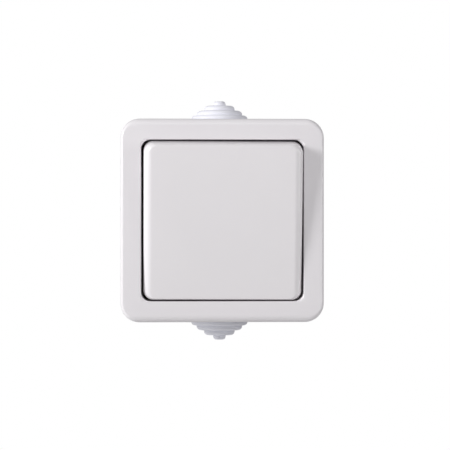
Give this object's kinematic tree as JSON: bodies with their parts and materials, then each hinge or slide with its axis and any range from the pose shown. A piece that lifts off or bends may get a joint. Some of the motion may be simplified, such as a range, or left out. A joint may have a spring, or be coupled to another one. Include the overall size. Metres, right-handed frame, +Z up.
{
  "type": "rocker wall switch",
  "caption": "Surface-mounted splash-proof rocker wall switch with a square frame, a tilting rocker and stepped rubber cable glands.",
  "frame": {"origin": "centre of the back box's rear face, on the wall", "axes": "+Z up the wall, +X to the right as seen from the front, -Y out of the wall towards the user"},
  "size_m": [0.072, 0.0498, 0.0874],
  "materials": {
    "frame_plastic": "white moulded plastic, satin gloss",
    "rocker_plastic": "white moulded plastic, satin gloss",
    "box_plastic": "white moulded plastic, fine matt",
    "mechanism_plastic": "light grey thermoset",
    "carrier_plastic": "natural low-friction plastic",
    "gland_rubber": "pale bluish-white soft rubber",
    "seal_rubber": "near-black soft rubber",
    "steel": "zinc-plated steel",
    "terminal_brass": "bare brass",
    "contact_silver": "silver alloy"
  },
  "bodies": {
    "fixed": {"back_box": "box_plastic", "upper_cable_gland": "gland_rubber", "lower_cable_gland": "gland_rubber", "box_seal": "seal_rubber", "front_frame": "frame_plastic", "tray_seal": "seal_rubber", "mechanism_seal": "seal_rubber", "upper_wall_screw_seal": "seal_rubber", "lower_wall_screw_seal": "seal_rubber", "mechanism_housing": "mechanism_plastic", "mounting_bridge": "steel", "mechanism_cover": "mechanism_plastic", "mechanism_rivet_1": "steel", "mechanism_rivet_2": "steel", "common_terminal": "terminal_brass", "load_terminal": "terminal_brass", "fixed_contact": "contact_silver", "common_clamp_plate": "steel", "load_clamp_plate": "steel", "common_terminal_screw": "steel", "load_terminal_screw": "steel", "right_mechanism_screw": "steel", "left_mechanism_screw": "steel", "upper_cover_screw": "steel", "lower_cover_screw": "steel", "pivot_axle": "steel"},
    "rocker": {"rocker": "rocker_plastic", "rocker_carrier": "carrier_plastic", "plunger_spring": "steel"},
    "plunger": {"plunger": "carrier_plastic"},
    "contact_lever": {"contact_lever": "terminal_brass", "moving_contact": "contact_silver"}
  },
  "joints": [
    {"name": "rocker_tilt", "type": "hinge", "parent": "fixed", "child": "rocker", "pos_m": [0, -0.0395, 0], "axis": [-1, 0, 0], "range_deg": [0, 12]},
    {"name": "plunger_slide", "type": "slide", "parent": "rocker", "child": "plunger", "axis": [0, -0.9945, -0.1045], "range_m": [0, 0.0005], "stiffness_N_per_m": 250, "deforming": ["plunger_spring"]},
    {"name": "contact_lever_tilt", "type": "hinge", "parent": "fixed", "child": "contact_lever", "pos_m": [0, -0.0202, 0], "axis": [1, 0, 0], "range_deg": [0, 16]}
  ],
  "couplings": [
    {"joint": "contact_lever_tilt", "follows": "rocker_tilt", "ratio": 1.3333}
  ]
}
